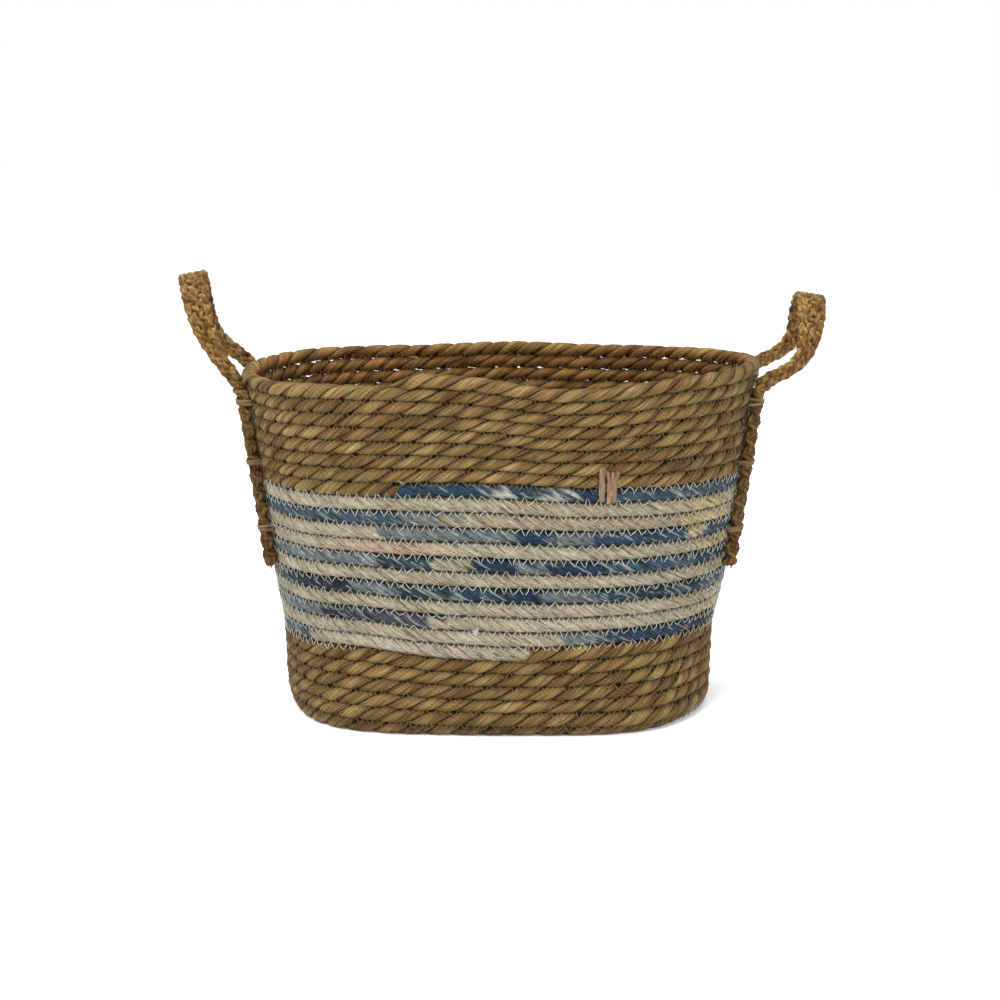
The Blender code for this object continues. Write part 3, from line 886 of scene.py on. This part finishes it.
def fuzz(skein, centre, wide, thick, reach, seed, count):
    """Short fibre ends that stand out of a braid."""
    dice = np.random.default_rng(seed)
    for _ in range(count):
        place = dice.integers(4, len(centre) - 4)
        turn = dice.uniform(0.0, TAU)
        out = wide[place] * math.cos(turn) + thick[place] * math.sin(turn)
        distance = reach[place] * abs(math.cos(turn)) + 3.4 * MM * abs(math.sin(turn))
        start = centre[place] + out * distance * 0.86
        direction = unit(out * 0.8 + dice.uniform(-1.0, 1.0, 3))
        colour = ramp(np.array([dice.uniform(0.1, 1.0)]), BRAID_STOPS)[0]
        add_fibre(skein, start, direction, dice.uniform(-0.4, 0.4, 3), dice.uniform(1.2, 2.8) * MM,
                  dice.uniform(0.12, 0.22) * MM, colour)


def tie_piece(name, side, end, height, seed):
    """Two wraps of raffia round a tail, pulled into the wall."""
    skein = Skein()
    dice = np.random.default_rng(seed)
    for wrap in range(2):
        level = height + (wrap - 0.5) * 1.7 * MM
        centre = handle_point(side, end, np.array([level]), TAIL_STANDOFF)[0]
        inward = unit(handle_point(side, end, np.array([level]), 0.0)[0] - centre)
        across = np.cross(inward, UP)
        angle = np.linspace(0.0, math.pi, 19)
        bend = (5.3 + 0.15 * wrap) * MM
        arc = centre + across * (bend * np.cos(angle))[:, None]
        arc = arc - inward * (bend * 0.90 * np.sin(angle))[:, None]
        legs = np.linspace(5.0 * MM, 0.0, 6)[:-1, None] * inward
        path = np.concatenate([centre + across * bend + legs, arc, centre - across * bend + legs[::-1]])
        slant = dice.uniform(-1.0, 1.0) * 1.4 * MM
        waver = 0.2 * MM * wander(np.arange(len(path)) / 3.0, seed)
        path[:, 2] += slant * np.linspace(-1.0, 1.0, len(path)) + waver
        run = unit(np.gradient(path, axis=0))
        up = np.repeat(UP[None, :], len(path), axis=0)
        out = unit(np.cross(run, up))
        corner = TAU * np.arange(8) / 8
        flat = np.sqrt((0.42 * np.cos(corner)) ** 2 + (1.05 * np.sin(corner)) ** 2) * MM
        radius = np.repeat(flat[None, :], len(path), axis=0)
        value = 0.55 + 0.3 * wander(np.arange(len(path)) / 4.0, seed + wrap)
        tint = ramp(value, [(0.0, (120, 92, 58)), (0.6, (166, 136, 98)), (1.0, (200, 176, 140))])
        skein.add(path, out, np.cross(run, out), radius, tint, seed=seed + wrap)
    return skein.build(name, RAFFIA, "raffia", rows=False)


def handle_pieces():
    """Both braids, each turning from its tails into its loop at the hinge height, and the raffia ties that
    hold their tails.
    """
    for label, handle in HANDLES.items():
        side = handle["side"]
        braid = braid_piece(f"{label}_braid", handle, 1300 + int(side))
        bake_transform(braid)
        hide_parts(f"{label}_handle_loop", f"{label}_front_tail", f"{label}_back_tail")
        for end_label, end in (("front", -1.0), ("back", 1.0)):
            for level, height in TIE_HEIGHTS.items():
                node = f"{label}_{end_label}_tie_{level}"
                seed = 1500 + len(node) * 7 + int(height * 1e4)
                piece = tie_piece(f"{node}_wraps", side, end, height, seed)
                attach(piece, "basket")
                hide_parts(node)


# ---------------------------------------------------------------- raffia tabs

def tab_piece(name, node, seed, split):
    """A flat strip of raffia lying over the seam, frayed at its top."""
    low, high = (np.array(corner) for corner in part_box(node))
    middle = (low + high) / 2
    length = high[2] - low[2]
    width = {"raffia_tab_narrow": 3.5 * MM, "raffia_tab_wide": 6.0 * MM}[node]
    bearing = math.atan2(middle[1], middle[0])
    outward = np.array([math.cos(bearing) * 0.35, math.sin(bearing), 0.0])
    outward = outward / np.linalg.norm(outward)
    across = np.array([-outward[1], outward[0], 0.0])
    upward = unit(np.cross(outward, across) * -1.0)
    upward = upward if upward[2] > 0 else -upward
    upward = unit(upward + outward * math.tan(WALL_LEAN))
    skein = Skein()
    strips = 5
    for strip in range(strips):
        place = (strip + 0.5) / strips - 0.5
        share = np.linspace(-0.5, 0.5, 22)
        tip = share * length * (1.0 + 0.05 * math.sin(seed + strip * 2.0))
        fan = split * np.maximum(share, 0.0) ** 2 * np.sign(place) * 6.0 * MM
        lift = 0.35 * MM * np.sin(share * 9.0 + strip) + 1.2 * MM * smoothstep(np.abs(share) * 2.0 - 0.6)
        path = middle + upward * tip[:, None] + across * (place * width + fan)[:, None]
        path = path + outward * lift[:, None]
        run = unit(np.gradient(path, axis=0))
        side = unit(np.cross(run, outward))
        corner = TAU * np.arange(8) / 8
        flat = np.sqrt((width / strips * 0.72 * np.cos(corner)) ** 2 + (0.35 * MM * np.sin(corner)) ** 2)
        radius = np.repeat(flat[None, :], len(path), axis=0)
        value = 0.5 + 0.35 * wander(share * 5.0 + 9.0, seed + strip)
        tint = ramp(value, [(0.0, (150, 116, 84)), (0.6, (196, 160, 128)), (1.0, (232, 204, 170))])
        skein.add(path, side, np.cross(run, side), radius, tint, seed=seed + strip)
    piece = skein.build(name, RAFFIA, "raffia", rows=False)
    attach(piece, "basket")
    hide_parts(node)


# ---------------------------------------------------------------- loose ends

def loose_fibres():
    """Fibre ends that stand off the wall, and a tuft where the husk has split."""
    dice = np.random.default_rng(2100)
    grass = Skein()
    husk = Skein()
    for turns in dice.uniform(WALL_START + 1.0, TOTAL_TURNS - 0.05, 420):
        centre, along, face, onward = (vector[0] for vector in coil_frame(np.array([turns])))
        dyed = HUSK_START < turns < HUSK_END
        lean = dice.uniform(-0.9, 0.9)
        start = centre + face * 4.3 * MM * math.cos(lean) + onward * 4.3 * MM * math.sin(lean)
        direction = unit(along * dice.choice([-1.0, 1.0]) + face * dice.uniform(0.15, 0.6)
                         + onward * dice.uniform(-0.5, 0.5))
        shades = [(0.0, CREAM), (1.0, WHITE)] if dyed else SEAGRASS_STOPS
        colour = ramp(np.array([dice.uniform(0.2, 1.0)]), shades)[0]
        add_fibre(husk if dyed else grass, start, direction, face * dice.uniform(-0.5, 0.3),
                  dice.uniform(2.0, 6.0) * MM, dice.uniform(0.10, 0.18) * MM, colour)
    tuft_turn = HUSK_END - 10.038
    centre, along, face, onward = (vector[0] for vector in coil_frame(np.array([tuft_turn])))
    for _ in range(40):
        start = centre + face * 4.2 * MM + onward * dice.uniform(2.0, 5.0) * MM
        direction = unit(onward + along * dice.uniform(-0.7, 0.9) + face * dice.uniform(0.0, 0.7))
        add_fibre(husk, start, direction, along * dice.uniform(-0.5, 0.5), dice.uniform(2.0, 5.0) * MM,
                  0.22 * MM, 1.3 * linear(WHITE))
    for name, skein, material, slot in (
        ("loose_grass_fibres", grass, SEAGRASS, "seagrass"),
        ("loose_husk_fibres", husk, HUSK, "husk"),
    ):
        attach(skein.build(name, material, slot), "basket")


# ---------------------------------------------------------------- stage

def make_stage():
    """Plain pale floor and soft studio light; the floor's faint glow keeps it near white far away."""
    bpy.ops.mesh.primitive_plane_add(size=60.0, location=(0.0, 0.0, 0.0))
    floor = bpy.context.active_object
    floor.name = "floor"
    paint = bpy.data.materials.new("pale_floor")
    paint.use_nodes = True
    shader = paint.node_tree.nodes["Principled BSDF"]
    shader.inputs["Base Color"].default_value = (0.94, 0.94, 0.94, 1.0)
    shader.inputs["Roughness"].default_value = 0.9
    shader.inputs["Emission Color"].default_value = (1.0, 1.0, 1.0, 1.0)
    shader.inputs["Emission Strength"].default_value = 0.07
    floor.data.materials.append(paint)

    world = bpy.data.worlds.new("studio")
    bpy.context.scene.world = world
    world.use_nodes = True
    world.node_tree.nodes["Background"].inputs["Color"].default_value = (1.0, 1.0, 1.0, 1.0)
    world.node_tree.nodes["Background"].inputs["Strength"].default_value = 1.0
    lamps = [
        ("key", (-0.7, -1.3, 1.8), 0.9, 38.0),
        ("fill", (1.3, -1.2, 1.1), 1.4, 9.0),
        ("top", (0.1, 0.0, 1.9), 0.9, 34.0),
    ]
    for name, place, size, power in lamps:
        light = bpy.data.lights.new(name, "AREA")
        light.size = size
        light.energy = power
        lamp = bpy.data.objects.new(name, light)
        bpy.context.scene.collection.objects.link(lamp)
        lamp.location = place
        aim = bpy.data.objects.new(f"{name}_aim", None)
        bpy.context.scene.collection.objects.link(aim)
        aim.location = (0.0, 0.0, 0.12)
        track = lamp.constraints.new("TRACK_TO")
        track.target = aim
        track.track_axis = "TRACK_NEGATIVE_Z"
        track.up_axis = "UP_Y"


def make_camera():
    """Camera a little above the rim, looking slightly down on the front."""
    data = bpy.data.cameras.new("camera")
    data.sensor_width = 36.0
    data.lens = 68.3
    camera = bpy.data.objects.new("camera", data)
    bpy.context.scene.collection.objects.link(camera)
    camera.location = (0.0, -1.343, 0.399)
    camera.rotation_euler = (math.radians(90.0 - 10.76), 0.0, 0.0)
    bpy.context.scene.camera = camera
    bpy.context.scene.view_settings.view_transform = "Standard"


make_stage()
make_camera()
rope_pieces()
heart_strand()
stitch_pieces()
handle_pieces()
tab_piece("tab_narrow", "raffia_tab_narrow", 1701, 0.0)
tab_piece("tab_wide", "raffia_tab_wide", 1711, 1.0)
loose_fibres()
